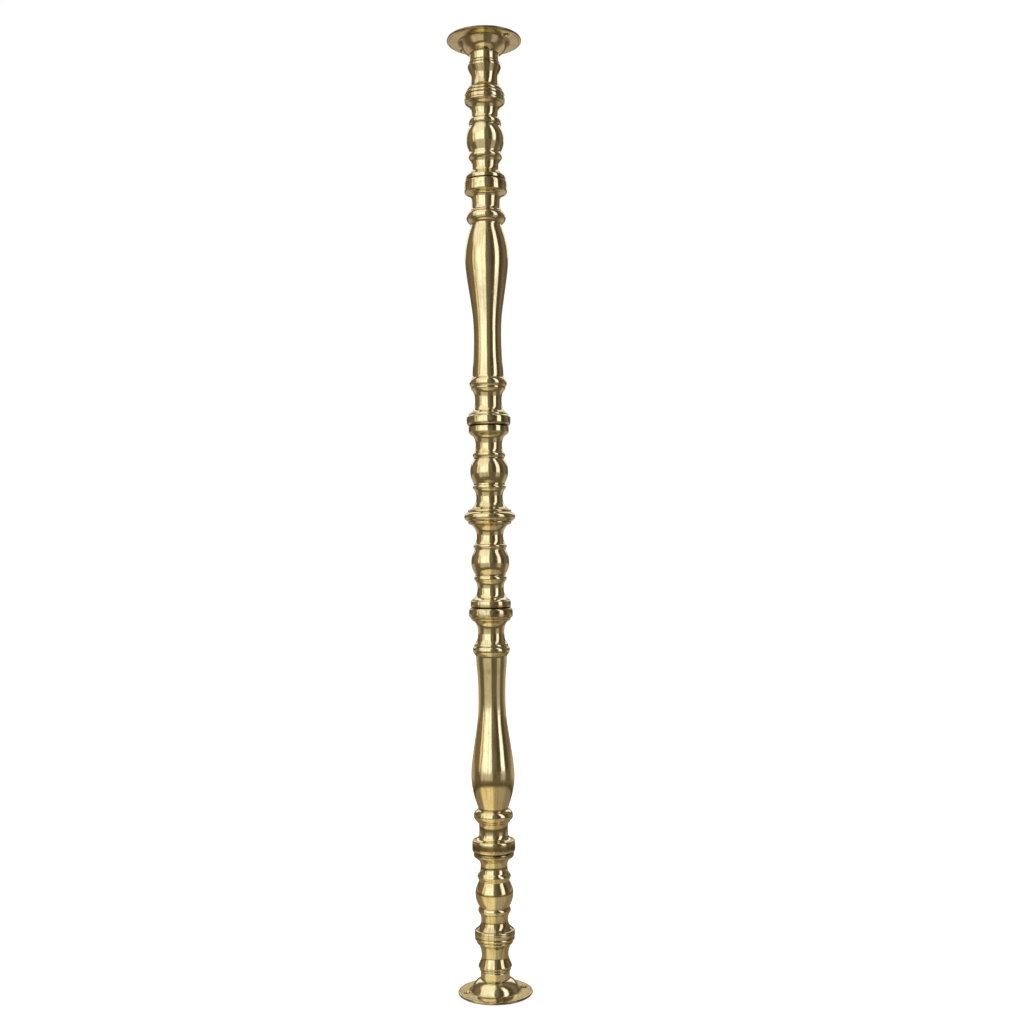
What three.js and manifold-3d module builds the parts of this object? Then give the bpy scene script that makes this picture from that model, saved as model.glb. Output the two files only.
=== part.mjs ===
// Turned brass rail post (baluster) with a round screw flange at each end.
// Five hollow brass sections are stacked on a steel tie rod between two flanges, centred on one
// another by plain bushes at every seam, and clamped by a nut and washer recessed in each flange.
// Millimetres, +Z up, origin at the middle of the lower flange's bearing face.
import * as THREE from 'three';
import { mergeVertices } from 'three/addons/utils/BufferGeometryUtils.js';
import Module from 'manifold-3d';

// ---------------------------------------------------------------- driving dimensions
const OVERALL = 914.4;            // bearing face to bearing face, 36 in
const MID = OVERALL / 2;          // the post is mirrored about this height
const SEAM_CENTRE = 87.1;         // seams, as distances from the mid-plane
const SEAM_VASE = 321.4;
const SEAM_END = 435.2;
const SEAM_GAP = 0.3;             // open line left between neighbouring pieces
const SEGMENTS = 24;

const FLANGE_R = 35.7;            // flange rim
const FLANGE_UNDER_R = 34.6;      // flat bearing face, out to the rounded rim
const HUB_R = 14.0;
const SCREW_PCD = 56.4;           // two countersunk wood-screw holes
const SCREW_HOLE_R = 1.9;
const SCREW_HEAD_R = 3.7;
const SCREW_HEAD_Z = 2.8;         // height of the countersink's mouth above the bearing face
const TOP_HOLES_AT = -42.5;       // degrees about +Z, the line through the two holes
const BOTTOM_HOLES_AT = 13.5;

const NUT_POCKET_R = 10.5;        // pocket for nut and washer in the bearing face
const NUT_POCKET_DEPTH = 9.5;
const WEB = 4.5;                  // metal left between nut pocket and bush seat
const ROD_R = 4.0;                // M8 tie rod
const ROD_HOLE_R = 4.3;
const ROD_RECESS = 1.0;           // rod ends below each bearing face
const NUT_AF = 13.0;
const NUT_H = 6.5;
const NUT_RECESS = 0.9;
const WASHER_R = 8.5;
const WASHER_T = 1.6;
const CORE_R = 9.0;               // cored bore of the sections
const SEAT_R = 10.0;              // bush seat, counterbored in each section end
const SEAT_DEPTH = 10.0;
const BUSH_R = 9.7;
const BUSH_CLEAR = 0.3;           // end float of a bush in its seats

// ---------------------------------------------------------------- outer profiles
// Each row is [distance from the mid-plane, radius].
const CENTRE_PROFILE = [
  [0, 24.4], [2.6, 23.8], [4.9, 20.1], [6.4, 19.9], [8.4, 16.9], [13.5, 13.4],
  [17.5, 12.6], [23.5, 13.3], [28.3, 15.8], [31.8, 14.5],
  [35.5, 16.5], [43.5, 18.1], [51.5, 16.5], [55.3, 14.3],
  [59.6, 15.5], [63.4, 13.4], [68.5, 12.55], [75.6, 13.9],
  [79.7, 18.2], [81.2, 19.1], [86.0, 19.2], [86.95, 18.5],
];
const VASE_PROFILE = [
  [87.25, 18.8], [89.4, 20.8], [95.2, 20.9], [97.7, 18.2], [99.3, 17.2], [103.6, 13.9],
  [112.0, 12.7], [118.6, 13.9], [127.8, 17.8], [130.8, 17.2], [134.4, 14.7], [143.0, 14.5],
  [152.0, 13.6], [171.0, 13.0], [190.0, 13.7], [207.0, 15.8], [224.0, 18.4],
  [237.0, 20.15], [249.0, 20.85], [259.0, 19.95], [268.0, 18.0],
  [278.9, 14.4], [282.4, 17.2], [286.9, 18.9],
  [291.0, 16.9], [295.0, 14.1], [304.0, 13.9], [307.9, 15.2],
  [310.8, 19.9], [312.6, 20.5], [319.4, 20.5], [321.25, 19.5],
];
const END_PROFILE = [
  [321.55, 18.6], [322.4, 19.2], [325.2, 19.2], [329.6, 14.5], [335.2, 12.9],
  [340.4, 13.8], [344.9, 16.0], [349.2, 14.7], [353.5, 16.6],
  [361.5, 18.2], [369.5, 16.6], [373.8, 14.6], [377.6, 15.6],
  [381.6, 13.6], [386.4, 12.95], [391.6, 14.2], [396.8, 18.6], [399.0, 19.3],
  [405.2, 19.2], [410.2, 16.3], [415.2, 13.5], [421.0, 12.95],
  [429.6, 15.75], [431.8, 15.75], [435.05, 14.2],
];
// Flange rows are [height above the bearing face, radius]: a thin flat rim, a domed boss, then the hub.
const FLANGE_PROFILE = [
  [0, FLANGE_UNDER_R], [1.1, FLANGE_R], [2.1, 35.2], [2.7, 33.9], [2.8, 24.5], [3.8, 23.3],
  [6.4, 22.1], [9.0, 20.6], [11.2, 18.7], [12.9, 16.5], [14.4, 14.2], [21.85, HUB_R],
];

// ---------------------------------------------------------------- helpers
const BRASS = { color: 0xc9a94f, roughness: 0.24, metalness: 1.0 };
const FLANGE_BRASS = { color: 0xbd9c50, roughness: 0.3, metalness: 1.0 };
const BUSH_BRASS = { color: 0xb08a3c, roughness: 0.45, metalness: 1.0 };
const STEEL = { color: 0x9a9c9f, roughness: 0.4, metalness: 1.0 };

// Revolves a closed outline of [radius, z] rows about +Z.
function revolve(outline, segments = SEGMENTS) {
  const points = outline.map(([r, z]) => new THREE.Vector2(r, z));
  points.push(points[0].clone());
  const geometry = new THREE.LatheGeometry(points, segments);
  geometry.rotateX(Math.PI / 2);
  return geometry;
}

// A section between two seams: outer profile outside, cored bore with a bush seat at each end inside.
function sectionOutline(profile, base) {
  const low = profile[0][0], high = profile[profile.length - 1][0];
  const seatLow = low + SEAT_DEPTH, seatHigh = high - SEAT_DEPTH;
  const outer = profile.map(([h, r]) => [r, h - base]);
  return [
    ...outer,
    [SEAT_R, high - base], [SEAT_R, seatHigh - base], [CORE_R, seatHigh - base],
    [CORE_R, seatLow - base], [SEAT_R, seatLow - base], [SEAT_R, low - base],
  ];
}

function mirrored(outline, span) {
  return outline.map(([r, z]) => [r, span - z]).reverse();
}

const wasm = await Module();
wasm.setup();

function solid(geometry) {
  const bare = geometry.clone();
  bare.deleteAttribute('normal');
  bare.deleteAttribute('uv');
  const merged = mergeVertices(bare, 1e-4);
  return new wasm.Manifold(new wasm.Mesh({
    numProp: 3,
    vertProperties: new Float32Array(merged.attributes.position.array),
    triVerts: new Uint32Array(merged.index.array),
  }));
}

function geometryOf(manifold) {
  const mesh = manifold.getMesh();
  const geometry = new THREE.BufferGeometry();
  geometry.setAttribute('position', new THREE.BufferAttribute(new Float32Array(mesh.vertProperties), 3));
  geometry.setIndex(new THREE.BufferAttribute(new Uint32Array(mesh.triVerts), 1));
  geometry.computeVertexNormals();
  return geometry;
}

const group = new THREE.Group();

function add(name, geometry, look, z) {
  const mesh = new THREE.Mesh(geometry, new THREE.MeshStandardMaterial(look));
  mesh.name = name;
  mesh.position.set(0, 0, z);
  group.add(mesh);
  return mesh;
}

// ---------------------------------------------------------------- flanges
const seatFloor = NUT_POCKET_DEPTH + WEB;
const hubEnd = FLANGE_PROFILE[FLANGE_PROFILE.length - 1][0];

function flange(holesAt) {
  const body = solid(revolve([
    ...FLANGE_PROFILE.map(([z, r]) => [r, z]),
    [SEAT_R, hubEnd], [SEAT_R, seatFloor], [ROD_HOLE_R, seatFloor], [ROD_HOLE_R, NUT_POCKET_DEPTH],
    [NUT_POCKET_R, NUT_POCKET_DEPTH], [NUT_POCKET_R, 0],
  ]));
  const coneFloor = SCREW_HEAD_Z - (SCREW_HEAD_R - SCREW_HOLE_R);
  let cut = body;
  for (const turn of [0, 180]) {
    const drill = revolve([
      [0, -1], [SCREW_HOLE_R, -1], [SCREW_HOLE_R, coneFloor], [SCREW_HEAD_R, SCREW_HEAD_Z],
      [SCREW_HEAD_R, SCREW_HEAD_Z + 4], [0, SCREW_HEAD_Z + 4],
    ], 12);
    const angle = THREE.MathUtils.degToRad(holesAt + turn);
    drill.translate((SCREW_PCD / 2) * Math.cos(angle), (SCREW_PCD / 2) * Math.sin(angle), 0);
    cut = cut.subtract(solid(drill));
  }
  return geometryOf(cut);
}

add('bottom_flange', flange(BOTTOM_HOLES_AT), FLANGE_BRASS, 0);

// The upper flange is the same casting upside down; turning it over about X reverses the hole angle.
const topFlange = add('top_flange', flange(-TOP_HOLES_AT), FLANGE_BRASS, OVERALL);
topFlange.rotation.x = Math.PI;

// ---------------------------------------------------------------- turned sections
const halfCentre = CENTRE_PROFILE.slice(1).map(([h, r]) => [-h, r]).reverse();
add('centre_section', revolve(sectionOutline([...halfCentre, ...CENTRE_PROFILE], 0)), BRASS, MID);

const vaseSpan = VASE_PROFILE[VASE_PROFILE.length - 1][0] - VASE_PROFILE[0][0];
const vase = sectionOutline(VASE_PROFILE, VASE_PROFILE[0][0]);
add('upper_vase_section', revolve(vase), BRASS, MID + VASE_PROFILE[0][0]);
add('lower_vase_section', revolve(mirrored(vase, vaseSpan)), BRASS, MID - VASE_PROFILE[0][0] - vaseSpan);

const endSpan = END_PROFILE[END_PROFILE.length - 1][0] - END_PROFILE[0][0];
const end = sectionOutline(END_PROFILE, END_PROFILE[0][0]);
add('upper_end_section', revolve(end), BRASS, MID + END_PROFILE[0][0]);
add('lower_end_section', revolve(mirrored(end, endSpan)), BRASS, MID - END_PROFILE[0][0] - endSpan);

// ---------------------------------------------------------------- centring bushes, one at each seam
function bush(name, low, high) {
  const length = high - low - 2 * BUSH_CLEAR;
  add(name, revolve([
    [BUSH_R, 0], [BUSH_R, length], [ROD_HOLE_R, length], [ROD_HOLE_R, 0],
  ], 16), BUSH_BRASS, low + BUSH_CLEAR);
}

const seat = SEAT_DEPTH + SEAM_GAP / 2;
bush('bush_bottom_flange', seatFloor, MID - SEAM_END + seat);
bush('bush_lower_end', MID - SEAM_VASE - seat, MID - SEAM_VASE + seat);
bush('bush_lower_vase', MID - SEAM_CENTRE - seat, MID - SEAM_CENTRE + seat);
bush('bush_upper_vase', MID + SEAM_CENTRE - seat, MID + SEAM_CENTRE + seat);
bush('bush_upper_end', MID + SEAM_VASE - seat, MID + SEAM_VASE + seat);
bush('bush_top_flange', MID + SEAM_END - seat, OVERALL - seatFloor);

// ---------------------------------------------------------------- tie rod, washers and nuts
const rodLength = OVERALL - 2 * ROD_RECESS;
add('tie_rod', revolve([
  [0, 0], [ROD_R - 0.8, 0], [ROD_R, 0.8], [ROD_R, rodLength - 0.8], [ROD_R - 0.8, rodLength], [0, rodLength],
]), STEEL, ROD_RECESS);

function washer() {
  return revolve([[WASHER_R, 0], [WASHER_R, WASHER_T], [ROD_HOLE_R, WASHER_T], [ROD_HOLE_R, 0]]);
}
add('bottom_washer', washer(), STEEL, NUT_RECESS + NUT_H + 0.2);
add('top_washer', washer(), STEEL, OVERALL - NUT_RECESS - NUT_H - 0.2 - WASHER_T);

// Hexagon with its corners turned back to a chamfer, and a plain bore that clears the rod's crests.
function nut() {
  const corner = NUT_AF / Math.sqrt(3);
  const hexagon = new THREE.Shape();
  for (let i = 0; i < 6; i++) {
    const a = (i * Math.PI) / 3;
    if (i === 0) hexagon.moveTo(corner * Math.cos(a), corner * Math.sin(a));
    else hexagon.lineTo(corner * Math.cos(a), corner * Math.sin(a));
  }
  hexagon.closePath();
  const prism = new THREE.ExtrudeGeometry(hexagon, { depth: NUT_H, bevelEnabled: false });
  const chamfer = revolve([
    [0, 0], [NUT_AF / 2 - 0.2, 0], [corner + 0.1, 0.8], [corner + 0.1, NUT_H - 0.8], [NUT_AF / 2 - 0.2, NUT_H], [0, NUT_H],
  ]);
  const bore = revolve([[0, -1], [ROD_R + 0.3, -1], [ROD_R + 0.3, NUT_H + 1], [0, NUT_H + 1]]);
  return geometryOf(solid(prism).intersect(solid(chamfer)).subtract(solid(bore)));
}
add('bottom_nut', nut(), STEEL, NUT_RECESS);
add('top_nut', nut(), STEEL, OVERALL - NUT_RECESS - NUT_H);

export default group;
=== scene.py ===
"""Looks of a turned brass rail post: five turned sections and two screw flanges on a steel tie rod.

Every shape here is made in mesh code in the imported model's own frame, in metres. The CAD nodes stay as
they are: each fine piece replaces the node it stands for and rides on that node's body.
"""

import math

import bpy
import numpy as np
from mathutils import Matrix, Vector


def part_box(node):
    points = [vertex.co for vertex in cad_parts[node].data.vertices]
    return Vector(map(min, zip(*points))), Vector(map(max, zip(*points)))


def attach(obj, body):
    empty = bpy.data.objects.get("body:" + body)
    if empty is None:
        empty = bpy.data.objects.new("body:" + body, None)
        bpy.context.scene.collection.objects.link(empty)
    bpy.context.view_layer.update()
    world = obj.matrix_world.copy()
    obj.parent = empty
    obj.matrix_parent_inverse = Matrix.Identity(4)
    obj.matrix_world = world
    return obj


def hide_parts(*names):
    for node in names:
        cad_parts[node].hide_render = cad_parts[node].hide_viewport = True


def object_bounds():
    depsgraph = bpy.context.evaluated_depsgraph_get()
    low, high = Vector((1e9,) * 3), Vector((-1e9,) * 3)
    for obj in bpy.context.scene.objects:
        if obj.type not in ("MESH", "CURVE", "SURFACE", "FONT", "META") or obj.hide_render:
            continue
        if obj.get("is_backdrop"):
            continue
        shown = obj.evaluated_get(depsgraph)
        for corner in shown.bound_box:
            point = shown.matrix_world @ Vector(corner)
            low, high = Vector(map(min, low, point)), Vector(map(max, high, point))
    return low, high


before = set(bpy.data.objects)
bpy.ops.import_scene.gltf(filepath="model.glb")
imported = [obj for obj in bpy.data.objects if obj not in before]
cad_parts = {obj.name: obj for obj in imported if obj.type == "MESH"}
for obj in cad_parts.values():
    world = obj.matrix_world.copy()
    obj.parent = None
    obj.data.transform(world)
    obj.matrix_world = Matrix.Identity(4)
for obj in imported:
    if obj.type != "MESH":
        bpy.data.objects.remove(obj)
cad_low, cad_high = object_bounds()
scene = bpy.context.scene

MM = 0.001
MID = (cad_low.z + cad_high.z) / 2 / MM          # mid-plane of the post, mm above the lower face
TOP = cad_high.z / MM

# --------------------------------------------------------------------------------------------------
# Outer profiles. Each list is one smooth run of [distance from the mid-plane, radius] in mm, and the
# runs meet in a crease: the quirks and arrises that a turner leaves between mouldings.
# --------------------------------------------------------------------------------------------------
CENTRE_HALF = [
    [[0, 24.45], [1.4, 24.2], [2.7, 23.35], [3.8, 22.0], [4.7, 20.55]],
    [[4.7, 20.55], [5.3, 20.75], [6.1, 20.6], [6.9, 19.9], [7.5, 18.7]],
    [[7.5, 18.7], [8.4, 16.9], [10.5, 15.0], [13.5, 13.4], [17.5, 12.65], [21.5, 12.9], [24.6, 13.8], [26.5, 14.9]],
    [[26.5, 14.9], [27.2, 15.7], [28.2, 16.0], [29.3, 15.7], [30.2, 14.9]],
    [[30.2, 14.9], [31.8, 14.75]],
    [[31.8, 14.75], [34.9, 16.25], [38.9, 17.65], [43.5, 18.15], [48.1, 17.65], [52.1, 16.25], [55.3, 14.35]],
    [[55.3, 14.35], [56.4, 14.3]],
    [[56.4, 14.3], [57.3, 15.0], [58.9, 15.55], [60.3, 15.3], [61.6, 14.4]],
    [[61.6, 14.4], [64.0, 13.2], [68.5, 12.55], [72.9, 13.05], [76.0, 14.2], [78.0, 16.0], [79.3, 18.0]],
    [[79.3, 18.0], [80.2, 18.3]],
    [[80.2, 18.3], [80.9, 19.05], [82.0, 19.2], [85.6, 19.2], [86.5, 19.0], [86.95, 18.5]],
]
VASE = [
    [[87.25, 18.9], [87.9, 19.9], [89.3, 20.75], [91.5, 20.95], [94.4, 20.95], [95.7, 20.7], [96.6, 19.8]],
    [[96.6, 19.8], [97.3, 19.1]],
    [[97.3, 19.1], [98.3, 18.9], [99.2, 18.2], [99.7, 17.2]],
    [[99.7, 17.2], [100.9, 15.6], [103.6, 13.9], [107.6, 12.95], [112.0, 12.7], [116.3, 13.1], [119.2, 14.1], [121.0, 15.2]],
    [[121.0, 15.2], [121.9, 16.0], [123.0, 16.4], [124.3, 16.3]],
    [[124.3, 16.3], [125.3, 17.2], [126.7, 17.8], [128.3, 17.85], [130.2, 17.35], [131.8, 16.3], [133.0, 15.2]],
    [[133.0, 15.2], [134.6, 14.85]],
    [[134.6, 14.85], [143.0, 14.5], [150.0, 13.8], [160.0, 13.25], [171.0, 13.05], [182.0, 13.2], [192.0, 13.85],
     [201.0, 14.95], [210.0, 16.25], [219.0, 17.65], [228.0, 18.95], [236.0, 20.0], [243.0, 20.65], [249.0, 20.85],
     [255.0, 20.5], [261.0, 19.6], [267.0, 18.25], [272.0, 16.8], [276.0, 15.45], [278.9, 14.5]],
    [[278.9, 14.5], [280.3, 14.4]],
    [[280.3, 14.4], [281.4, 16.3], [283.0, 17.8], [285.0, 18.75], [286.9, 18.9], [288.9, 18.3], [290.6, 17.2]],
    [[290.6, 17.2], [291.4, 16.2]],
    [[291.4, 16.2], [292.3, 15.9], [293.3, 14.9]],
    [[293.3, 14.9], [295.0, 14.1], [299.0, 13.75], [303.2, 13.85], [305.9, 14.3], [307.4, 15.2]],
    [[307.4, 15.2], [308.5, 16.4], [309.3, 18.0]],
    [[309.3, 18.0], [309.9, 19.7], [311.2, 20.45], [313.0, 20.6], [318.9, 20.6], [320.6, 20.2], [321.25, 19.5]],
]
END = [
    [[321.55, 18.7], [322.1, 19.15], [323.2, 19.3], [325.0, 19.2], [326.0, 18.6]],
    [[326.0, 18.6], [326.9, 17.6]],
    [[326.9, 17.6], [329.2, 14.7], [332.0, 13.2], [335.2, 12.9], [338.6, 13.2], [341.2, 14.1]],
    [[341.2, 14.1], [342.4, 15.1], [344.4, 16.05], [346.2, 15.7], [347.6, 14.9]],
    [[347.6, 14.9], [349.2, 14.6]],
    [[349.2, 14.6], [352.9, 16.35], [356.9, 17.7], [361.5, 18.25], [366.1, 17.7], [370.1, 16.35], [373.5, 14.55]],
    [[373.5, 14.55], [374.6, 14.5]],
    [[374.6, 14.5], [375.5, 15.2], [377.2, 15.65], [379.0, 15.3], [380.4, 14.3]],
    [[380.4, 14.3], [382.6, 13.35], [386.4, 12.95], [389.8, 13.4], [392.4, 14.6], [394.3, 16.3], [395.6, 17.7]],
    [[395.6, 17.7], [396.0, 18.5], [396.8, 19.1], [397.7, 19.2], [398.2, 19.0]],
    [[398.2, 19.0], [398.7, 19.35], [399.8, 19.4], [401.2, 19.4], [402.0, 19.1], [402.4, 18.45]],
    [[402.4, 18.45], [402.9, 18.95], [404.0, 19.2], [405.2, 18.8], [406.0, 17.9], [406.3, 17.1]],
    [[406.3, 17.1], [406.9, 17.5], [408.0, 17.4], [409.2, 16.7], [410.0, 15.6]],
    [[410.0, 15.6], [411.6, 14.75], [414.8, 13.6], [418.5, 12.95], [422.0, 13.05], [425.2, 14.0], [428.0, 15.2], [430.0, 16.0]],
    [[430.0, 16.0], [431.2, 16.1], [432.3, 15.6]],
    [[432.3, 15.6], [432.9, 14.9]],
    [[432.9, 14.9], [433.7, 15.1], [434.6, 14.9], [435.05, 14.4]],
]
# Flange rows are [height above the bearing face, radius]: rounded rim, flat land for the screws, domed boss, hub.
FLANGE = [
    [[0, 34.7], [0.35, 35.35], [1.0, 35.7], [1.7, 35.55], [2.3, 34.9], [2.6, 33.9]],
    [[2.6, 33.9], [2.7, 30.0], [2.8, 25.2]],
    [[2.8, 25.2], [3.1, 24.3], [4.0, 23.5], [6.4, 22.25], [9.0, 20.75], [11.2, 18.8], [12.8, 16.8], [14.0, 14.75]],
    [[14.0, 14.75], [14.5, 14.15], [15.4, 14.0], [18.0, 14.0], [21.1, 14.0]],
    [[21.1, 14.0], [21.85, 13.6]],
]


def spline(points, turn=5.0, longest=2.0):
    """Natural cubic spline through the points, sampled so that it turns at most a few degrees a step."""
    p = np.array(points, float)
    if len(p) == 2:
        n = max(1, int(np.linalg.norm(p[1] - p[0]) / 0.5))
        return [tuple(p[0] + (p[1] - p[0]) * k / n) for k in range(n + 1)]
    t = np.concatenate([[0], np.cumsum(np.linalg.norm(np.diff(p, axis=0), axis=1) ** 0.6)])
    n = len(p)
    h = np.diff(t)
    a = np.zeros((n, n))
    b = np.zeros((n, 2))
    a[0, 0] = a[-1, -1] = 1
    for i in range(1, n - 1):
        a[i, i - 1], a[i, i], a[i, i + 1] = h[i - 1], 2 * (h[i - 1] + h[i]), h[i]
        b[i] = 6 * ((p[i + 1] - p[i]) / h[i] - (p[i] - p[i - 1]) / h[i - 1])
    m = np.linalg.solve(a, b)
    dense = []
    for i in range(n - 1):
        for s in np.linspace(0, 1, 40, endpoint=False):
            x = t[i] + s * h[i]
            u, v = t[i + 1] - x, x - t[i]
            dense.append(m[i] * u**3 / (6 * h[i]) + m[i + 1] * v**3 / (6 * h[i])
                         + (p[i] / h[i] - m[i] * h[i] / 6) * u + (p[i + 1] / h[i] - m[i + 1] * h[i] / 6) * v)
    dense.append(p[-1])
    dense = np.array(dense)
    out, last, heading = [tuple(dense[0])], dense[0], None
    for k in range(1, len(dense) - 1):
        d = dense[k + 1] - dense[k]
        angle = math.atan2(d[1], d[0])
        if heading is None:
            heading = math.atan2(*(dense[1] - dense[0])[::-1])
        far = np.linalg.norm(dense[k] - last)
        if far > longest or (abs(angle - heading) > math.radians(turn) and far > 0.12):
            out.append(tuple(dense[k]))
            last, heading = dense[k], angle
    if np.linalg.norm(np.array(out[-1]) - dense[-1]) < 0.06 and len(out) > 1:
        out.pop()
    out.append(tuple(dense[-1]))
    return out


def cut_back(line, length):
    """The polyline without its last stretch of that length."""
    line = [np.array(q, float) for q in line]
    while len(line) > 2 and np.linalg.norm(line[-1] - line[-2]) <= length:
        length -= np.linalg.norm(line[-1] - line[-2])
        line.pop()
    d = line[-1] - line[-2]
    size = np.linalg.norm(d)
    line[-1] = line[-1] - d / size * min(length, size * 0.5)
    return [tuple(q) for q in line]


def profile(runs, soften=0.16):
    """One polyline through all the runs, each crease polished to a tiny round."""
    lines = [spline(r) for r in runs]
    made = list(lines[0])
    for nxt in lines[1:]:
        corner = np.array(nxt[0], float)
        left = cut_back(made, soften)
        right = cut_back(nxt[::-1], soften)[::-1]
        a, b = np.array(left[-1]), np.array(right[0])
        arc = [tuple((1 - u) ** 2 * a + 2 * u * (1 - u) * corner + u**2 * b) for u in (0.25, 0.5, 0.75)]
        made = left + arc + list(right)
    return made


def hollowness(line):
    """For each point of a profile, how far it lies below (+) or above (-) the profile's smoothed line."""
    p = np.array(line, float)
    s = np.concatenate([[0], np.cumsum(np.linalg.norm(np.diff(p, axis=0), axis=1))])
    out = []
    for i in range(len(p)):
        w = np.exp(-(((s - s[i]) / 1.1) ** 2))
        gaps = np.gradient(s) * w
        mean = (p[:, 1] * gaps).sum() / gaps.sum()
        out.append(float(np.clip((mean - p[i, 1]) / 0.42, -1, 1)))
    return out


# --------------------------------------------------------------------------------------------------
# Mesh helpers
# --------------------------------------------------------------------------------------------------
def mesh_object(name, verts, faces, attribute=None, sharp=38):
    mesh = bpy.data.meshes.new(name)
    mesh.from_pydata([tuple(v) for v in verts], [], faces)
    mesh.validate()
    if attribute is not None:
        layer = mesh.attributes.new("hollow", "FLOAT", "POINT")
        layer.data.foreach_set("value", np.array(attribute, np.float32))
    mesh.shade_smooth()
    mesh.set_sharp_from_angle(angle=math.radians(sharp))
    mesh.update()
    ob = bpy.data.objects.new(name, mesh)
    scene.collection.objects.link(ob)
    return ob


def wobble(theta, z, seed):
    """Hand-polishing leaves the surface a few hundredths of a millimetre out of true."""
    rng = np.random.RandomState(seed)
    total = 0
    for k in range(7):
        turns = rng.randint(1, 6)
        wave = rng.uniform(9, 42)
        total = total + rng.uniform(0.3, 1.0) * np.cos(turns * theta + z * 2 * math.pi / wave + rng.uniform(0, 6.28))
    return total / 7


def lathe(name, outline, hollow=None, segments=144, uneven=0.0, seed=1, closed=True, sharp=38):
    """Turns a list of (radius, z) in mm about +Z. A closed outline makes a tube, an open one starts and ends on the axis."""
    theta = np.linspace(0, 2 * math.pi, segments, endpoint=False)
    rings, attribute, verts, ends = [], [], [], []
    for k, (r, z) in enumerate(outline):
        if r < 1e-6:
            ends.append(k)
            rings.append([len(verts)])
            verts.append((0, 0, z * MM))
            attribute.append(0 if hollow is None else hollow[k])
            continue
        rr = r + (uneven * wobble(theta, z, seed) if uneven else 0)
        rings.append(list(range(len(verts), len(verts) + segments)))
        verts.extend(zip(rr * np.cos(theta) * MM, rr * np.sin(theta) * MM, np.full(segments, z * MM)))
        attribute.extend([0 if hollow is None else hollow[k]] * segments)
    faces = []
    pairs = list(zip(range(len(rings) - 1), range(1, len(rings))))
    if closed:
        pairs.append((len(rings) - 1, 0))
    for a, b in pairs:
        ra, rb = rings[a], rings[b]
        for i in range(segments):
            j = (i + 1) % segments
            if len(ra) == 1:
                faces.append((ra[0], rb[j], rb[i]))
            elif len(rb) == 1:
                faces.append((ra[i], ra[j], rb[0]))
            else:
                faces.append((ra[i], ra[j], rb[j], rb[i]))
    return mesh_object(name, verts, faces, attribute, sharp)


def between(node, top=False):
    low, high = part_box(node)
    return (low.z / MM, high.z / MM)


def place(piece, node, body, material):
    piece.data.materials.clear()
    piece.data.materials.append(material)
    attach(piece, body)
    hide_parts(node)
    return piece


# --------------------------------------------------------------------------------------------------
# Node helpers
# --------------------------------------------------------------------------------------------------
class Net:
    """A short way to write node trees."""

    def __init__(self, tree):
        self.t = tree

    def add(self, kind, **values):
        n = self.t.nodes.new(kind)
        for k, v in values.items():
            setattr(n, k, v)
        return n

    def put(self, socket, value):
        if isinstance(value, bpy.types.NodeSocket):
            self.t.links.new(value, socket)
        elif value is not None:
            if hasattr(socket, "default_value"):
                try:
                    socket.default_value = value
                except (TypeError, ValueError):
                    socket.default_value = tuple(value) + (1.0,)

    def math(self, op, a, b=None, c=None, clamp=False):
        n = self.add("ShaderNodeMath", operation=op, use_clamp=clamp)
        self.put(n.inputs[0], a)
        if b is not None:
            self.put(n.inputs[1], b)
        if c is not None:
            self.put(n.inputs[2], c)
        return n.outputs[0]

    def vmath(self, op, a, b=None, scale=None):
        n = self.add("ShaderNodeVectorMath", operation=op)
        self.put(n.inputs[0], a)
        if b is not None:
            self.put(n.inputs[1], b)
        if scale is not None:
            self.put(n.inputs["Scale"], scale)
        return n.outputs["Value"] if op in ("LENGTH", "DOT_PRODUCT", "DISTANCE") else n.outputs[0]

    def ramp(self, value, low, high, out_low=0.0, out_high=1.0, kind="SMOOTHSTEP"):
        n = self.add("ShaderNodeMapRange", interpolation_type=kind, clamp=True)
        self.put(n.inputs[0], value)
        for i, v in zip((1, 2, 3, 4), (low, high, out_low, out_high)):
            self.put(n.inputs[i], v)
        return n.outputs[0]

    def mix(self, factor, a, b, blend="MIX"):
        n = self.add("ShaderNodeMix", data_type="RGBA", blend_type=blend, clamp_factor=True)
        self.put(n.inputs[0], factor)
        self.put(n.inputs[6], a)
        self.put(n.inputs[7], b)
        return n.outputs[2]

    def noise(self, vector, scale=1.0, detail=2.0, rough=0.5, distortion=0.0):
        n = self.add("ShaderNodeTexNoise", noise_dimensions="3D")
        self.put(n.inputs["Vector"], vector)
        self.put(n.inputs["Scale"], scale)
        self.put(n.inputs["Detail"], detail)
        self.put(n.inputs["Roughness"], rough)
        self.put(n.inputs["Distortion"], distortion)
        return n.outputs["Fac"]

    def combine(self, x, y, z):
        n = self.add("ShaderNodeCombineXYZ")
        for s, v in zip(n.inputs, (x, y, z)):
            self.put(s, v)
        return n.outputs[0]

    def bump(self, height, distance, strength=1.0, normal=None):
        n = self.add("ShaderNodeBump")
        n.inputs["Strength"].default_value = strength
        n.inputs["Distance"].default_value = distance
        self.put(n.inputs["Height"], height)
        if normal is not None:
            self.put(n.inputs["Normal"], normal)
        return n.outputs[0]


def rgb(r, g, b):
    return (r, g, b, 1.0)


def band(w, value, low, high, soft_low, soft_high=None):
    soft_high = soft_low if soft_high is None else soft_high
    up = w.ramp(value, low - soft_low / 2, low + soft_low / 2)
    down = w.ramp(value, high - soft_high / 2, high + soft_high / 2, 1.0, 0.0)
    return w.math("MULTIPLY", up, down)


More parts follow.
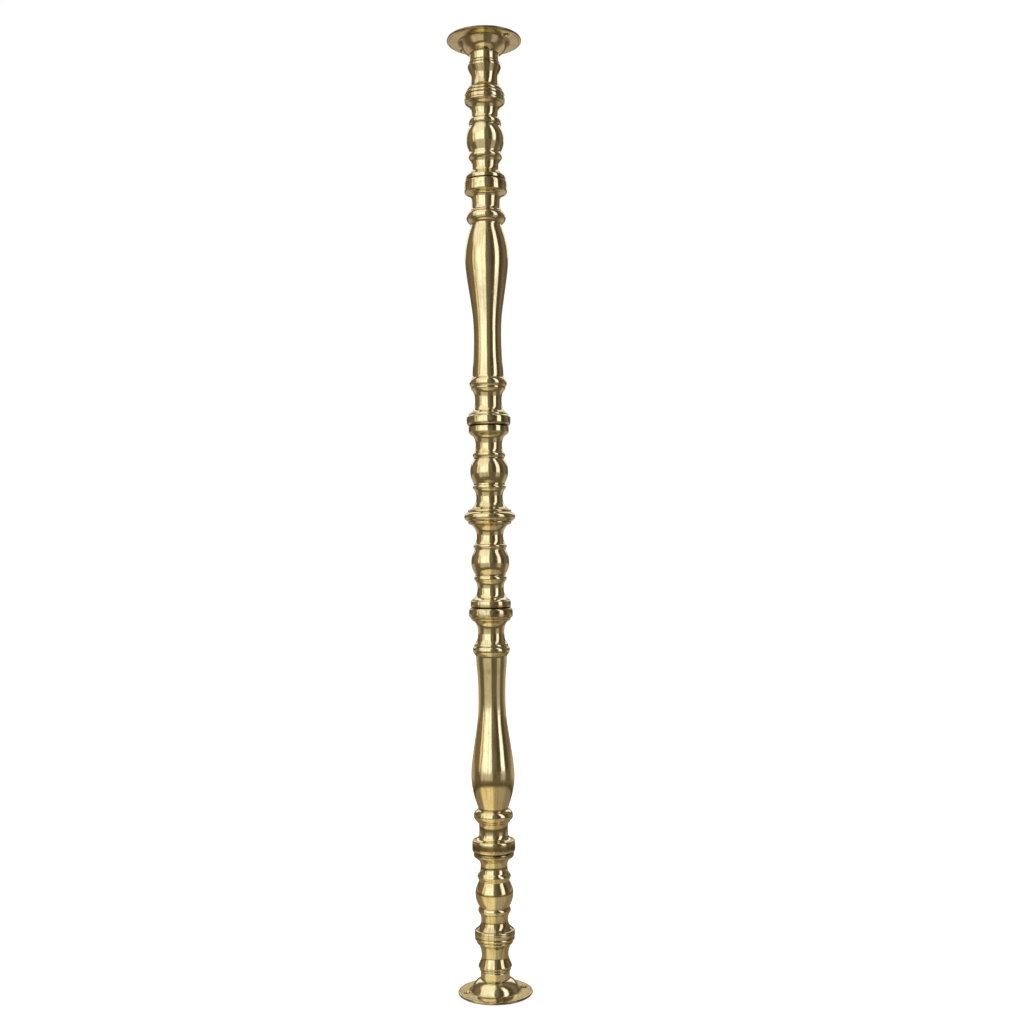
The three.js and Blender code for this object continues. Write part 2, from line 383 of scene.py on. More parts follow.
def brass(name, bright, warm, olive, grime_and_shade_colour, rough=0.10, aniso=0.35, streak=1.0, casting=0.0, dull=0.0, offset=0.0):
    """Turned, hand-polished brass: colour patches, quirks darkened with old polish residue and painted shade, bright
    arrises, polish streaks, lathe lines and pits.
    """
    m = bpy.data.materials.new(name)
    m.use_nodes = True
    tree = m.node_tree
    tree.nodes.clear()
    n = Net(tree)
    where = n.add("ShaderNodeTexCoord").outputs["Object"]
    where = n.vmath("ADD", where, (0.0, 0.0, offset))
    xyz = n.add("ShaderNodeSeparateXYZ")
    n.put(xyz.inputs[0], where)
    x, y, z = xyz.outputs
    away = n.math("SQRT", n.math("ADD", n.math("MULTIPLY", x, x), n.math("MULTIPLY", y, y)))
    away = n.math("MAXIMUM", away, 0.0005)
    cx, cy = n.math("DIVIDE", x, away), n.math("DIVIDE", y, away)

    hollow = n.add("ShaderNodeAttribute", attribute_name="hollow").outputs["Fac"]

    # colour: broad patches, then finer cloudy tarnish
    patch = n.noise(where, 34.0, 3.0, 0.55, 0.6)
    cloud = n.noise(where, 140.0, 4.0, 0.6)
    colour = n.mix(n.ramp(patch, 0.36, 0.66), bright, warm)
    colour = n.mix(n.math("MULTIPLY", n.ramp(cloud, 0.5, 0.78), 0.55), colour, olive)
    spots = n.noise(where, 620.0, 2.0, 0.5)
    colour = n.mix(n.math("MULTIPLY", n.ramp(spots, 0.62, 0.74), 0.30 + 0.4 * casting), colour, grime_and_shade_colour)

    # the quirks are darkened, partly old polish residue and partly painted shade; the arrises are rubbed bright
    recess_grime_and_shade = n.ramp(n.math("ADD", hollow, n.math("MULTIPLY", n.math("SUBTRACT", cloud, 0.5), 0.6)), 0.12, 0.62)
    colour = n.mix(n.math("MULTIPLY", recess_grime_and_shade, 0.92), colour, grime_and_shade_colour)
    worn = n.ramp(n.math("MULTIPLY", hollow, -1.0), 0.2, 0.8)
    colour = n.mix(n.math("MULTIPLY", worn, 0.45), colour, rgb(0.93, 0.85, 0.58))

    # polish streaks run along the post, lathe lines run round it
    along = n.combine(n.math("MULTIPLY", cx, 9.0), n.math("MULTIPLY", cy, 9.0), n.math("MULTIPLY", z, 26.0))
    streaks = n.noise(along, 1.6, 4.0, 0.62)
    fine = n.combine(n.math("MULTIPLY", cx, 26.0), n.math("MULTIPLY", cy, 26.0), n.math("MULTIPLY", z, 40.0))
    hair = n.noise(fine, 1.8, 2.0, 0.5)
    rings = n.noise(n.combine(n.math("MULTIPLY", cx, 0.35), n.math("MULTIPLY", cy, 0.35), n.math("MULTIPLY", z, 1500.0)), 1.0, 2.0, 0.5)
    pitted = n.noise(where, 900.0, 1.0, 0.4)
    few = n.noise(where, 60.0, 1.0, 0.5)
    pits = n.math("MULTIPLY", n.ramp(pitted, 0.70, 0.80), n.ramp(few, 0.5, 0.66))

    colour = n.mix(n.math("MULTIPLY", n.ramp(streaks, 0.47, 0.68), 0.42 * streak), colour, rgb(0.38, 0.30, 0.16))
    # darker runs along the necks at both ends
    ends = n.ramp(n.math("ABSOLUTE", n.math("SUBTRACT", z, 0.4572)), 0.372, 0.40)
    runs = n.noise(n.combine(n.math("MULTIPLY", cx, 3.2), n.math("MULTIPLY", cy, 3.2), n.math("MULTIPLY", z, 12.0)), 2.2, 2.0, 0.5)
    colour = n.mix(n.math("MULTIPLY", n.math("MULTIPLY", n.ramp(runs, 0.47, 0.62), ends), 0.5 * streak), colour, rgb(0.30, 0.22, 0.115))
    # cloudy, speckled tarnish on the wide bands beside the seams
    apart = n.math("ABSOLUTE", n.math("SUBTRACT", z, 0.4572))
    near_seam = n.math("MAXIMUM", band(n, apart, 0.0845, 0.0965, 0.004), band(n, apart, 0.3135, 0.3275, 0.004))
    # the joints themselves are black with old polish
    at_seam = n.math("MAXIMUM", band(n, apart, 0.0862, 0.0880, 0.0007), band(n, apart, 0.3205, 0.3223, 0.0007))
    colour = n.mix(n.math("MULTIPLY", at_seam, 0.85), colour, rgb(0.07, 0.045, 0.02))
    speck = n.noise(where, 330.0, 3.0, 0.65)
    colour = n.mix(n.math("MULTIPLY", n.math("MULTIPLY", n.ramp(speck, 0.44, 0.62), near_seam), 0.6), colour, rgb(0.34, 0.25, 0.135))
    colour = n.mix(n.math("MULTIPLY", pits, 0.8), colour, rgb(0.10, 0.065, 0.03))

    # roughness
    r = n.math("ADD", rough, n.math("MULTIPLY", n.math("SUBTRACT", cloud, 0.45), 0.16 + dull * 0.2))
    r = n.math("ADD", r, n.math("MULTIPLY", n.ramp(streaks, 0.45, 0.8), 0.07 * streak))
    r = n.math("ADD", r, n.math("MULTIPLY", recess_grime_and_shade, 0.22))
    r = n.math("ADD", r, n.math("MULTIPLY", pits, 0.3))
    r = n.math("MINIMUM", n.math("MAXIMUM", r, 0.05), 0.75)

    # relief
    swell = n.noise(where, 55.0, 1.0, 0.4)
    normal = n.bump(swell, 0.00022 + 0.0005 * casting, 0.5)
    normal = n.bump(streaks, 0.00005, 0.35 * streak + 0.1, normal)
    normal = n.bump(hair, 0.000012, 0.35, normal)
    normal = n.bump(rings, 0.000012, 0.30, normal)
    normal = n.bump(n.math("MULTIPLY", pits, -1.0), 0.00012, 0.6, normal)
    if casting:
        sand = n.noise(where, 420.0, 3.0, 0.6)
        normal = n.bump(sand, 0.0002 * casting, 0.6, normal)

    tangent = n.add("ShaderNodeTangent", direction_type="RADIAL", axis="Z")
    bsdf = n.add("ShaderNodeBsdfPrincipled")
    bsdf.inputs["Metallic"].default_value = 1.0
    bsdf.inputs["Anisotropic"].default_value = aniso
    bsdf.inputs["Anisotropic Rotation"].default_value = 0.25
    n.put(bsdf.inputs["Tangent"], tangent.outputs[0])
    n.put(bsdf.inputs["Base Color"], colour)
    n.put(bsdf.inputs["Roughness"], r)
    n.put(bsdf.inputs["Normal"], normal)
    out = n.add("ShaderNodeOutputMaterial")
    tree.links.new(bsdf.outputs[0], out.inputs[0])
    return m


def steel(name):
    """Bright zinc-plated steel: bluish passivation clouds, patches of light rust and dark specks."""
    m = bpy.data.materials.new(name)
    m.use_nodes = True
    tree = m.node_tree
    tree.nodes.clear()
    n = Net(tree)
    where = n.add("ShaderNodeTexCoord").outputs["Object"]
    cloud = n.noise(where, 260.0, 3.0, 0.55)
    speck = n.noise(where, 1500.0, 2.0, 0.5)
    broad = n.noise(where, 70.0, 2.0, 0.5)
    colour = n.mix(n.ramp(cloud, 0.35, 0.65), rgb(0.60, 0.60, 0.60), rgb(0.50, 0.515, 0.54))
    colour = n.mix(n.math("MULTIPLY", n.ramp(broad, 0.52, 0.7), 0.5), colour, rgb(0.55, 0.50, 0.40))
    colour = n.mix(n.math("MULTIPLY", n.ramp(speck, 0.60, 0.72), 0.5), colour, rgb(0.22, 0.20, 0.18))
    r = n.math("ADD", 0.30, n.math("MULTIPLY", cloud, 0.22))
    normal = n.bump(speck, 0.00003, 0.5)
    bsdf = n.add("ShaderNodeBsdfPrincipled")
    bsdf.inputs["Metallic"].default_value = 1.0
    n.put(bsdf.inputs["Base Color"], colour)
    n.put(bsdf.inputs["Roughness"], r)
    n.put(bsdf.inputs["Normal"], normal)
    out = n.add("ShaderNodeOutputMaterial")
    tree.links.new(bsdf.outputs[0], out.inputs[0])
    return m


# colour of old polish residue, also used as painted shade in the quirks
GRIME_AND_SHADE = rgb(0.095, 0.062, 0.028)
post_brass = brass("post_brass", rgb(0.84, 0.762, 0.478), rgb(0.80, 0.678, 0.398), rgb(0.62, 0.59, 0.355), GRIME_AND_SHADE)
flange_brass = brass("flange_brass", rgb(0.86, 0.77, 0.475), rgb(0.80, 0.675, 0.415), rgb(0.64, 0.59, 0.36), GRIME_AND_SHADE,
                     rough=0.12, aniso=0.3, streak=0.4, casting=0.10, dull=0.35, offset=0.37)
bush_brass = brass("bush_brass", rgb(0.66, 0.53, 0.29), rgb(0.60, 0.46, 0.25), rgb(0.48, 0.43, 0.25), GRIME_AND_SHADE,
                   rough=0.38, aniso=0.3, streak=0.3, offset=0.71)
zinc_steel = steel("zinc_steel")

# --------------------------------------------------------------------------------------------------
# Turned sections
# --------------------------------------------------------------------------------------------------
CORE_R, SEAT_R, SEAT_DEPTH = 9.0, 10.0, 10.0


def fit_to(line, low, high):
    """Profile rows stretched so that their ends meet the node's ends exactly."""
    h = np.array([q[0] for q in line])
    z = low + (h - h.min()) / (h.max() - h.min()) * (high - low)
    return [(float(q[1]), float(v)) for q, v in zip(line, z)]


def section(name, line, node, seed):
    low, high = between(node)
    hollow = hollowness(line)
    outer = fit_to(line, low, high)
    if outer[0][1] > outer[-1][1]:
        outer.reverse()
        hollow.reverse()
    inner = [
        (SEAT_R + 0.4, high), (SEAT_R, high - 0.4), (SEAT_R, high - SEAT_DEPTH), (CORE_R, high - SEAT_DEPTH),
        (CORE_R, low + SEAT_DEPTH), (SEAT_R, low + SEAT_DEPTH), (SEAT_R, low + 0.4), (SEAT_R + 0.4, low),
    ]
    return lathe(name, outer + inner, hollow + [0.3] * len(inner), uneven=0.05, seed=seed)


def flip(line):
    return [(-h, r) for h, r in line][::-1]


centre_line = profile(CENTRE_HALF)
# the two halves meet at the collar's crest, which is smooth
whole = [(-h, r) for h, r in centre_line[1:]][::-1] + list(centre_line)
piece = section("centre_section_turned", whole, "centre_section", 11)
place(piece, "centre_section", "column", post_brass)

vase_line = profile(VASE)
place(section("upper_vase_section_turned", vase_line, "upper_vase_section", 12), "upper_vase_section", "column", post_brass)
place(section("lower_vase_section_turned", flip(vase_line), "lower_vase_section", 13), "lower_vase_section", "column", post_brass)

end_line = profile(END)
place(section("upper_end_section_turned", end_line, "upper_end_section", 14), "upper_end_section", "column", post_brass)
place(section("lower_end_section_turned", flip(end_line), "lower_end_section", 15), "lower_end_section", "column", post_brass)

# --------------------------------------------------------------------------------------------------
# Flanges
# --------------------------------------------------------------------------------------------------
SCREW_CIRCLE, HOLE_R, HEAD_R, HEAD_Z = 28.2, 1.9, 3.7, 2.76
POCKET_R, POCKET_DEPTH, WEB, ROD_HOLE_R = 10.5, 9.5, 4.5, 4.3
SEAT_FLOOR = POCKET_DEPTH + WEB


def flange(name, node, body, angle, upside_down, seed):
    low, high = between(node)
    line = profile(FLANGE, 0.2)
    hollow = hollowness(line)
    outer = [(r, h) for h, r in line]
    end = outer[-1][1]
    inner = [
        (SEAT_R + 0.4, end), (SEAT_R, end - 0.4), (SEAT_R, SEAT_FLOOR), (ROD_HOLE_R + 0.3, SEAT_FLOOR), (ROD_HOLE_R, SEAT_FLOOR - 0.3),
        (ROD_HOLE_R, POCKET_DEPTH + 0.3), (ROD_HOLE_R + 0.3, POCKET_DEPTH), (POCKET_R - 0.5, POCKET_DEPTH),
        (POCKET_R - 0.12, POCKET_DEPTH - 0.12), (POCKET_R, POCKET_DEPTH - 0.5), (POCKET_R, 0.35), (POCKET_R + 0.35, 0.0),
        (14.0, 0.0), (18.0, 0.0), (22.0, 0.0), (26.0, 0.0), (30.0, 0.0), (33.0, 0.0),
    ]
    outline = outer + inner
    body_mesh = lathe(name + "_blank", outline, hollow + [0.25] * len(inner), segments=192, uneven=0.0, seed=seed)
    for turn in (0, 180):
        a = math.radians(angle + turn)
        cone_floor = HEAD_Z - (HEAD_R - HOLE_R)
        drill = lathe("drill", [
            (0, -1), (HOLE_R + 0.3, -1), (HOLE_R + 0.3, 0.0), (HOLE_R, 0.3), (HOLE_R, cone_floor - 0.1), (HOLE_R + 0.04, cone_floor + 0.02),
            (HEAD_R - 0.35, HEAD_Z - 0.35), (HEAD_R, HEAD_Z - 0.02), (HEAD_R + 0.25, HEAD_Z + 0.2), (HEAD_R + 0.25, HEAD_Z + 6), (0, HEAD_Z + 6),
        ], segments=48, closed=False)
        drill.data.transform(Matrix.Translation((SCREW_CIRCLE * MM * math.cos(a), SCREW_CIRCLE * MM * math.sin(a), 0)))
        cut = body_mesh.modifiers.new("cut", "BOOLEAN")
        cut.operation, cut.solver, cut.object = "DIFFERENCE", "EXACT", drill
        bpy.context.view_layer.update()
        done = bpy.data.meshes.new_from_object(body_mesh.evaluated_get(bpy.context.evaluated_depsgraph_get()))
        body_mesh.modifiers.clear()
        body_mesh.data = done
        bpy.data.objects.remove(drill)
    mesh = body_mesh.data
    mesh.name = name
    co = np.zeros(len(mesh.vertices) * 3)
    mesh.vertices.foreach_get("co", co)
    co = co.reshape(-1, 3)
    # painted shade and old polish residue on the flange, set through the recess value; the countersinks are kept clean
    value = np.zeros(len(co), np.float32)
    layer = mesh.attributes.get("hollow")
    if layer is not None and len(layer.data) == len(co):
        layer.data.foreach_get("value", value)
    else:
        layer = mesh.attributes.new("hollow", "FLOAT", "POINT")
    out_at, up_at = np.hypot(co[:, 0], co[:, 1]) / MM, co[:, 2] / MM
    # painted shade: a darker ring at the boss's foot, dimming its bright reflection
    value = np.where((up_at > 2.4) & (up_at < 3.6) & (out_at > 23.8) & (out_at < 25.6), 0.42, value)
    # the rim's edge darker: old polish residue and painted shade, dimming its bright line
    value = np.where((up_at > 0.2) & (up_at < 2.2) & (out_at > 34.8), 0.45, value)
    for turn in (0, 180):
        a = math.radians(angle + turn)
        off = np.hypot(co[:, 0] / MM - SCREW_CIRCLE * math.cos(a), co[:, 1] / MM - SCREW_CIRCLE * math.sin(a))
        # the screw holes darker: old polish residue and painted shade
        value = np.where((off < HOLE_R + 0.4) & (co[:, 2] > 0), 0.9, value)
        value = np.where((off >= HOLE_R + 0.4) & (off < HEAD_R + 0.4), -0.2, value)
    layer.data.foreach_set("value", value.astype(np.float32))
    if upside_down:
        mesh.transform(Matrix.Translation((0, 0, high * MM)) @ Matrix.Rotation(math.pi, 4, "X"))
    else:
        mesh.transform(Matrix.Translation((0, 0, low * MM)))
    mesh.shade_smooth()
    mesh.set_sharp_from_angle(angle=math.radians(32))
    body_mesh.name = name
    place(body_mesh, node, body, flange_brass)
    return body_mesh


flange("bottom_flange_cast", "bottom_flange", "lower_flange", 13.5, False, 21)
flange("top_flange_cast", "top_flange", "upper_flange", 42.5, True, 22)

# --------------------------------------------------------------------------------------------------
# Bushes, tie rod, nuts and washers
# --------------------------------------------------------------------------------------------------
for node in ("bush_bottom_flange", "bush_lower_end", "bush_lower_vase", "bush_upper_vase", "bush_upper_end", "bush_top_flange"):
    low, high = between(node)
    mid = (low + high) / 2
    bush = lathe(node + "_turned", [
        (ROD_HOLE_R + 0.4, low), (9.3, low), (9.7, low + 0.4), (9.7, mid - 0.5), (9.45, mid - 0.25), (9.45, mid + 0.25), (9.7, mid + 0.5),
        (9.7, high - 0.4), (9.3, high), (ROD_HOLE_R + 0.4, high), (ROD_HOLE_R, high - 0.4), (ROD_HOLE_R, low + 0.4),
    ], segments=72)
    place(bush, node, "column", bush_brass)


def rod():
    """M8 rod: rolled threads for the last 26 mm at each end, plain between."""
    low, high = between("tie_rod")
    pitch, depth, crest, segments = 1.25, 0.62, 3.97, 48
    rows = [low, low + 0.001]
    step = pitch / 10
    z = low + 0.7
    while z < low + 26:
        rows.append(z)
        z += step
    rows += list(np.linspace(low + 26.5, high - 26.5, 24))
    z = high - 26
    while z < high - 0.7:
        rows.append(z)
        z += step
    rows += [high - 0.001, high]
    theta = np.linspace(0, 2 * math.pi, segments, endpoint=False)
    verts, rings, hollow = [(0, 0, low * MM)], [], [0.0]
    for z in rows[1:-1]:
        edge = min(z - low, high - z)
        turn = (z / pitch - theta / (2 * math.pi)) % 1.0
        wave = np.abs(turn - 0.5) * 2                       # 0 at the root, 1 at the crest
        cut = np.clip((1 - wave) * 1.35 - 0.12, 0, 1) * depth
        fade = np.clip((26.3 - edge) / 1.6, 0, 1)
        r = crest - cut * fade - 0.09 * (1 - fade)
        r = np.minimum(r, 3.2 + edge * 1.0)
        rings.append(range(len(verts), len(verts) + segments))
        verts.extend(zip(r * np.cos(theta) * MM, r * np.sin(theta) * MM, np.full(segments, z * MM)))
        hollow.extend((cut * fade * 1.2).tolist())
    verts.append((0, 0, high * MM))
    hollow.append(0.0)
    faces = [(0, rings[0][(i + 1) % segments], rings[0][i]) for i in range(segments)]
    for ra, rb in zip(rings, rings[1:]):
        for i in range(segments):
            j = (i + 1) % segments
            faces.append((ra[i], ra[j], rb[j], rb[i]))
    faces += [(rings[-1][i], rings[-1][(i + 1) % segments], len(verts) - 1) for i in range(segments)]
    return mesh_object("tie_rod_threaded", verts, faces, hollow, 50)


place(rod(), "tie_rod", "column", zinc_steel)


def washer(node):
    low, high = between(node)
    ring = lathe(node + "_stamped", [
        (ROD_HOLE_R, low + 0.2), (ROD_HOLE_R + 0.15, low), (8.2, low), (8.4, low + 0.08), (8.5, low + 0.3), (8.5, high - 0.3), (8.4, high - 0.08),
        (8.2, high), (ROD_HOLE_R + 0.15, high), (ROD_HOLE_R, high - 0.2),
    ], segments=96)
    place(ring, node, "column", zinc_steel)


def nut(node):
    """Hexagon nut with 30 degree chamfers and a countersunk bore."""
    low, high = between(node)
    flat, segments = 6.5, 144
    corner = flat / math.cos(math.pi / 6)
    theta = np.linspace(0, 2 * math.pi, segments, endpoint=False)
    hexagon = flat / np.cos((theta + math.pi / 6) % (math.pi / 3) - math.pi / 6)
    rows = []
    for z in (0, 0.06, 0.16, 0.28, 0.42, 0.58, 0.78):
        rows.append((z, flat - 0.15 + z * 1.65))
    rows += [(h - z, c) for z, c, h in [(z, c, high - low) for z, c in rows[::-1]]]
    verts, rings = [], []

    def ring(r, z):
        rings.append(list(range(len(verts), len(verts) + segments)))
        verts.extend(zip(r * np.cos(theta) * MM, r * np.sin(theta) * MM, np.full(segments, (low + z) * MM)))

    high_z = high - low
    ring(np.full(segments, 4.3), 0.35)
    ring(np.full(segments, 4.7), 0.0)
    for z, c in rows:
        ring(np.minimum(hexagon, c), z)
    ring(np.full(segments, 4.7), high_z)
    ring(np.full(segments, 4.3), high_z - 0.35)
    faces = []
    for a in range(len(rings)):
        ra, rb = rings[a], rings[(a + 1) % len(rings)]
        for i in range(segments):
            j = (i + 1) % segments
            faces.append((ra[i], ra[j], rb[j], rb[i]))
    made = mesh_object(node + "_hexagon", verts, faces, None, 24)
    place(made, node, "column", zinc_steel)


for end in ("bottom", "top"):
    washer(end + "_washer")
    nut(end + "_nut")

# --------------------------------------------------------------------------------------------------
# Floor and light
# --------------------------------------------------------------------------------------------------
def tint(colour, level):
    return rgb(*(c * level for c in colour))


def plane(name, half, z):
    mesh = bpy.data.meshes.new(name)
    mesh.from_pydata([(-half, -half, 0), (half, -half, 0), (half, half, 0), (-half, half, 0)], [], [(0, 1, 2, 3)])
    ob = bpy.data.objects.new(name, mesh)
    ob.location.z = z
    scene.collection.objects.link(ob)
    return ob


def glow(name):
    m = bpy.data.materials.new(name)
    m.use_nodes = True
    m.node_tree.nodes.clear()
    n = Net(m.node_tree)
    emit = n.add("ShaderNodeEmission")
    out = n.add("ShaderNodeOutputMaterial")
    m.node_tree.links.new(emit.outputs[0], out.inputs[0])
    return m, n, emit


floor = plane("floor", 6.0, -0.0006)
floor_look = bpy.data.materials.new("floor_white")
floor_look.use_nodes = True
shade = floor_look.node_tree.nodes["Principled BSDF"]
shade.inputs["Base Color"].default_value = rgb(0.9, 0.9, 0.9)
shade.inputs["Roughness"].default_value = 0.9
shade.inputs["Emission Color"].default_value = rgb(1, 1, 1)
shade.inputs["Emission Strength"].default_value = 0.72
floor.data.materials.append(floor_look)
floor.visible_glossy = False
floor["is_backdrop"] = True


# What the polished brass mirrors from below: a warm wooden table round the post's foot, lit through the
# windows, with a dark floor beyond it. It is there for reflections only; the floor the camera sees is white.
table_top = plane("table_reflection", 5.0, -0.0004)
look, n, emit = glow("table_glow")
where = n.add("ShaderNodeTexCoord").outputs["Object"]
sep = n.add("ShaderNodeSeparateXYZ")
n.put(sep.inputs[0], where)
tx, ty = sep.outputs[0], sep.outputs[1]
reach = n.math("SQRT", n.math("ADD", n.math("MULTIPLY", tx, tx), n.math("MULTIPLY", ty, ty)))
around = n.math("MULTIPLY", n.math("ARCTAN2", tx, n.math("MULTIPLY", ty, -1.0)), 180 / math.pi)
grain = n.noise(n.vmath("MULTIPLY", where, (4.0, 26.0, 1.0)), 1.4, 3.0, 0.55)
wood = n.mix(grain, rgb(0.26, 0.205, 0.14), rgb(0.34, 0.275, 0.195))
pool = band(n, around, -78, 4, 26.0, 20.0)
wood = n.mix(pool, wood, n.mix(grain, rgb(0.84, 0.72, 0.43), rgb(1.05, 0.91, 0.56)))
pool = n.math("MULTIPLY", band(n, around, 4, 74, 16.0, 22.0), 0.5)
wood = n.mix(pool, wood, rgb(0.56, 0.47, 0.36))
dark = n.mix(grain, rgb(0.125, 0.098, 0.062), rgb(0.18, 0.145, 0.10))
far = n.math("MULTIPLY", band(n, around, -66, -2, 16.0, 8.0), n.ramp(reach, 0.74, 1.10))
dark = n.mix(far, dark, rgb(0.60, 0.54, 0.42))
far = n.math("MULTIPLY", band(n, around, 42, 70, 12.0), n.ramp(reach, 0.74, 1.10))
dark = n.mix(far, dark, rgb(0.48, 0.43, 0.37))
far = n.math("MULTIPLY", n.ramp(n.math("ABSOLUTE", around), 96, 130), n.ramp(reach, 0.6, 1.2))
dark = n.mix(far, dark, n.mix(grain, rgb(0.42, 0.35, 0.27), rgb(0.56, 0.475, 0.38)))
n.put(emit.inputs[0], n.mix(n.ramp(reach, 0.44, 0.56), wood, dark))
table_top.data.materials.append(look)

# the dark lip at the table's edge
lip_r, lip_h, sides = 0.50, 0.055, 96
verts, faces = [], []
for k in range(sides):
    a = 2 * math.pi * k / sides
    verts += [(lip_r * math.cos(a), lip_r * math.sin(a), 0), (lip_r * math.cos(a), lip_r * math.sin(a), lip_h)]
    faces.append((2 * k, (2 * k + 2) % (2 * sides), (2 * k + 3) % (2 * sides), 2 * k + 1))
mesh = bpy.data.meshes.new("table_lip_reflection")
mesh.from_pydata(verts, [], faces)
lip = bpy.data.objects.new("table_lip_reflection", mesh)
scene.collection.objects.link(lip)
look, n, emit = glow("lip_glow")
where = n.add("ShaderNodeTexCoord").outputs["Object"]
sep = n.add("ShaderNodeSeparateXYZ")
n.put(sep.inputs[0], where)
n.put(emit.inputs[0], n.mix(n.noise(where, 3.0, 2.0), rgb(0.075, 0.056, 0.032), rgb(0.12, 0.095, 0.06)))
clear = n.add("ShaderNodeBsdfTransparent")
fade = n.add("ShaderNodeMixShader")
n.put(fade.inputs[0], n.ramp(sep.outputs[2], lip_h - 0.02, lip_h))
n.t.links.new(emit.outputs[0], fade.inputs[1])
n.t.links.new(clear.outputs[0], fade.inputs[2])
n.t.links.new(fade.outputs[0], [q for q in n.t.nodes if q.type == "OUTPUT_MATERIAL"][0].inputs[0])
mesh.materials.append(look)

for ob in (table_top, lip):
    ob.visible_camera = False
    ob.visible_diffuse = False
    ob.visible_shadow = False
    ob.visible_transmission = False
    ob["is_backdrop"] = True

world = bpy.data.worlds.new("studio")
scene.world = world
world.use_nodes = True
wt = world.node_tree
wt.nodes.clear()
w = Net(wt)
direction = w.add("ShaderNodeTexCoord").outputs["Generated"]
sep = w.add("ShaderNodeSeparateXYZ")
w.put(sep.inputs[0], direction)
dx, dy, dz = sep.outputs
# azimuth 0 lies in front of the post (towards -Y), +90 to its right (+X); elevation above the horizon
azimuth = w.math("MULTIPLY", w.math("ARCTAN2", dx, w.math("MULTIPLY", dy, -1.0)), 180 / math.pi)
elevation = w.math("MULTIPLY", w.math("ARCSINE", w.math("MINIMUM", w.math("MAXIMUM", dz, -1.0), 1.0)), 180 / math.pi)

sky_scale = w.ramp(elevation, -12, 2, 0.64, 1.0)

# the room: what the bare surroundings look like, by azimuth, above the horizon
stops = [
    (-180, (0.20, 0.17, 0.135)), (-150, (0.15, 0.115, 0.085)), (-128, (0.15, 0.115, 0.085)), (-112, (0.22, 0.175, 0.125)), (-96, (0.25, 0.18, 0.115)),
    (-80, (0.21, 0.14, 0.08)), (-60, (0.21, 0.155, 0.10)), (-8, (0.20, 0.185, 0.145)), (6, (0.19, 0.17, 0.13)),
    (17, (0.15, 0.125, 0.09)), (28, (0.085, 0.065, 0.04)), (40, (0.095, 0.07, 0.045)), (46, (0.17, 0.13, 0.09)), (68, (0.17, 0.13, 0.10)), (74, (0.085, 0.06, 0.04)),
    (90, (0.095, 0.07, 0.048)), (106, (0.20, 0.17, 0.135)), (118, (0.20, 0.17, 0.135)), (132, (0.13, 0.10, 0.075)), (152, (0.15, 0.115, 0.085)), (180, (0.20, 0.17, 0.135)),
]
room_ramp = w.add("ShaderNodeValToRGB")
room_ramp.color_ramp.interpolation = "LINEAR"
for k, (a, c) in enumerate(stops):
    at = (a + 180) / 360
    e = room_ramp.color_ramp.elements[k] if k < 2 else room_ramp.color_ramp.elements.new(at)
    e.position = at
    e.color = rgb(*c)
w.put(room_ramp.inputs[0], w.ramp(azimuth, -180, 180, 0.0, 1.0, "LINEAR"))
room = room_ramp.outputs[0]


def window(base, low, high, bottom, top, colour, level, soft=1.6, soft_v=5.0):
    lit = w.math("MULTIPLY", band(w, azimuth, low, high, soft), band(w, elevation, bottom, top, soft_v))
    return w.mix(lit, base, tint(colour, level))


# left window: a warm outer pane (it dims towards the sill), a thin bar, then the wide bright pane whose edge stands in front of the post
sky = window(room, -80, -68, -14, 100, (1.0, 0.84, 0.62), 1.05, 3.0)
sky = window(sky, -64.5, -6, -14, 100, (1.0, 0.94, 0.82), 1.02, 2.0)
sky = window(sky, -55, -4, -14, 100, (1.0, 0.99, 0.95), 1.5, 22.0, 1.4)
sky = window(sky, -6, 9, -14, 100, (0.20, 0.18, 0.14), 1.0, 1.6)
sky = window(sky, -28, -22, -14, 100, (1.0, 0.96, 0.90), 1.18, 4.0, 3.0)
# right window, narrower and cooler
sky = window(sky, 46, 68, -14, 62, (1.0, 0.98, 1.06), 1.5, 2.6)
# behind the post: a pale wall with a window at each side, both above eye level so that the edges of the post stay dark
behind = w.math("ABSOLUTE", azimuth)
pale = w.mix(w.noise(direction, 9.0, 3.0, 0.6), rgb(0.50, 0.44, 0.31), rgb(0.80, 0.71, 0.52))
sky = w.mix(w.math("MULTIPLY", w.ramp(behind, 148, 166), band(w, elevation, 11, 64, 3.0)), sky, pale)
sky = w.mix(w.math("MULTIPLY", band(w, behind, 142, 160, 2.0), band(w, elevation, 12, 60, 4.0)), sky, tint((1.0, 0.98, 0.94), 1.2))

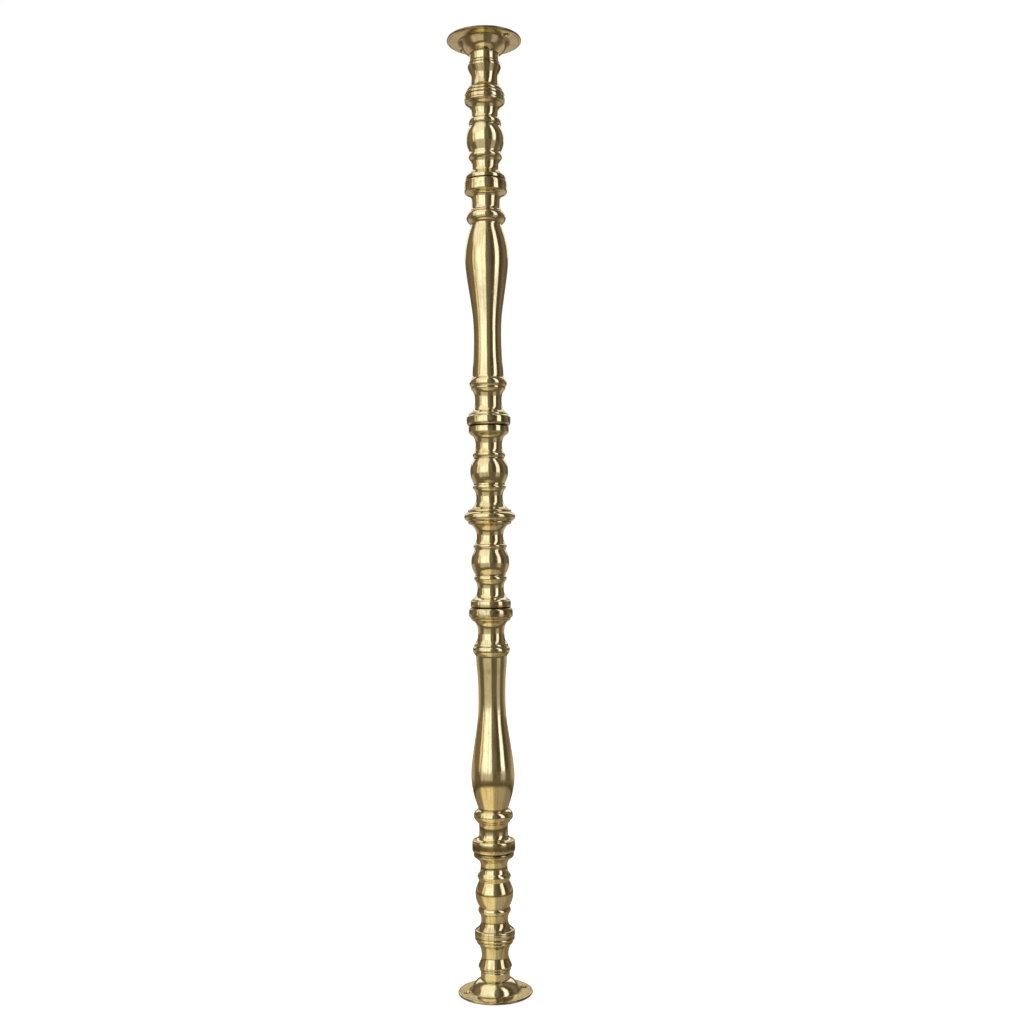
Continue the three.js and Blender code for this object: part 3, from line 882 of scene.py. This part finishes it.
# the sky-lit ceiling over the left window
over = w.vmath("DOT_PRODUCT", direction, (-0.50, -0.30, 0.81))
sky = w.mix(w.ramp(over, 0.80, 0.93), sky, tint((1.0, 0.97, 0.88), 1.15))
ceiling = w.ramp(elevation, 62, 84)
sky = w.mix(w.math("MULTIPLY", ceiling, w.ramp(over, 0.45, 0.86, 1.0, 0.0)), sky, rgb(0.36, 0.32, 0.26))
sill = w.math("MULTIPLY", sky_scale, 1.0)
sky = w.mix(w.math("SUBTRACT", 1.0, sill), sky, rgb(0.15, 0.12, 0.08))

light = w.add("ShaderNodeBackground")
w.put(light.inputs[0], sky)
light.inputs[1].default_value = 1.0
backdrop = w.add("ShaderNodeBackground")
backdrop.inputs[0].default_value = rgb(1, 1, 1)
backdrop.inputs[1].default_value = 1.02
path = w.add("ShaderNodeLightPath")
both = w.add("ShaderNodeMixShader")
w.put(both.inputs[0], path.outputs["Is Camera Ray"])
wt.links.new(light.outputs[0], both.inputs[1])
wt.links.new(backdrop.outputs[0], both.inputs[2])
out = w.add("ShaderNodeOutputWorld")
wt.links.new(both.outputs[0], out.inputs[0])

scene.view_settings.view_transform = "Standard"
scene.view_settings.look = "None"
scene.view_settings.exposure = 0.0
scene.view_settings.gamma = 1.0

# --------------------------------------------------------------------------------------------------
# Camera: 1.225 m in front, a little below the middle, level
# --------------------------------------------------------------------------------------------------
camera_data = bpy.data.cameras.new("camera")
camera = bpy.data.objects.new("camera", camera_data)
scene.collection.objects.link(camera)
camera_data.sensor_width = 36.0
camera_data.sensor_fit = "HORIZONTAL"
camera_data.lens = 44.851
camera_data.shift_y = 0.042
camera_data.clip_start, camera_data.clip_end = 0.05, 50
camera_data.dof.use_dof = False
yaw, pitch, roll = math.radians(0.9776), math.radians(-0.2), math.radians(-0.7029)
forward = Vector((math.sin(yaw) * math.cos(pitch), math.cos(yaw) * math.cos(pitch), math.sin(pitch)))
right = Vector((math.cos(yaw), -math.sin(yaw), 0))
up = right.cross(forward)
right, up = right * math.cos(roll) + up * math.sin(roll), -right * math.sin(roll) + up * math.cos(roll)
turn = Matrix((right, up, -forward)).transposed().to_4x4()
camera.matrix_world = Matrix.Translation((0, -1.225, (MID - 32.65) * MM)) @ turn
scene.camera = camera

low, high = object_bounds()
